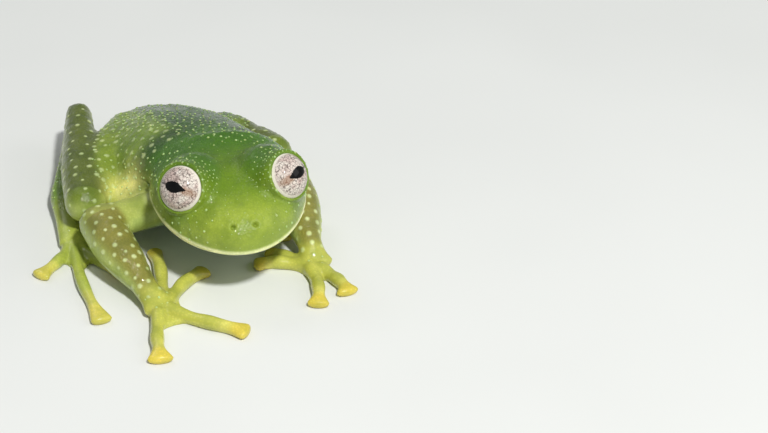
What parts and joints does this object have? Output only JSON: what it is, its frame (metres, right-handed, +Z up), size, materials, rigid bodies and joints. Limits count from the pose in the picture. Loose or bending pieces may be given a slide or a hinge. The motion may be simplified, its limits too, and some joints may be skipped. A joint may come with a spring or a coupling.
{
  "type": "glass frog figure",
  "caption": "Life-size figure of a small green glass frog, sitting low with its head turned a little and its hands spread in front of it.",
  "frame": {"origin": "on the floor, under the middle of the frog's bounding box", "axes": "-Y is the way the snout points, +X is the frog's left side, +Z is up from the floor"},
  "size_m": [0.0198, 0.029, 0.0087],
  "materials": {
    "skin_back": "wet gloss",
    "skin_pale": "wet gloss",
    "skin_limb": "wet gloss",
    "skin_digit": "wet gloss",
    "eye": "wet gloss"
  },
  "bodies": {
    "root": {"head": "skin_back", "lower_jaw": "skin_pale", "trunk": "skin_back", "eye_right": "eye", "upper_arm_right": "skin_limb", "forearm_right": "skin_limb", "hand_right": "skin_digit", "thigh_right": "skin_limb", "shank_right": "skin_limb", "tarsus_right": "skin_limb", "foot_right": "skin_digit", "eye_left": "eye", "upper_arm_left": "skin_limb", "forearm_left": "skin_limb", "hand_left": "skin_digit", "thigh_left": "skin_limb", "shank_left": "skin_limb", "tarsus_left": "skin_limb", "foot_left": "skin_digit"}
  },
  "joints": []
}
